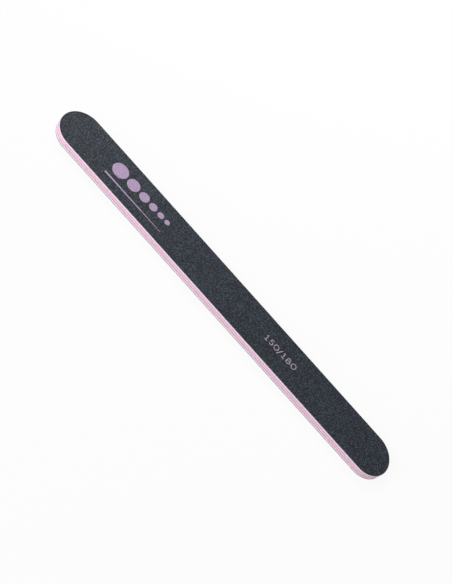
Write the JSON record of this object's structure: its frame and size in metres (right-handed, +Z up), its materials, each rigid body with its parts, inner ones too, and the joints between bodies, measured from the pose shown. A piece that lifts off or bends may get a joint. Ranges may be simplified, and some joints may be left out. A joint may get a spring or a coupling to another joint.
{
  "type": "emery board",
  "caption": "Straight padded emery board with full round ends: black abrasive paper on foam over a stiff pink core, coarse grit above and fine grit below.",
  "frame": {"origin": "middle of the lower filing face, the face that lies on the table", "axes": "+X along the board in the reading direction of its print, +Y across it, +Z up out of the printed coarse face"},
  "size_m": [0.178, 0.0186, 0.0036],
  "materials": {
    "coarse_grain": "matte",
    "fine_grain": "matte",
    "make_resin": "satin",
    "backing_paper": "matte",
    "paper_adhesive": "satin",
    "core_adhesive": "satin",
    "cushion_foam": "matte",
    "core_plastic": "satin",
    "print_ink": "satin"
  },
  "bodies": {
    "root": {"lower_grain_coat": "fine_grain", "lower_make_coat": "make_resin", "lower_paper_backing": "backing_paper", "lower_paper_adhesive": "paper_adhesive", "lower_foam_cushion": "cushion_foam", "lower_core_adhesive": "core_adhesive", "core_strip": "core_plastic", "upper_core_adhesive": "core_adhesive", "upper_foam_cushion": "cushion_foam", "upper_paper_adhesive": "paper_adhesive", "upper_paper_backing": "backing_paper", "upper_make_coat": "make_resin", "upper_grain_coat": "coarse_grain"}
  },
  "joints": []
}
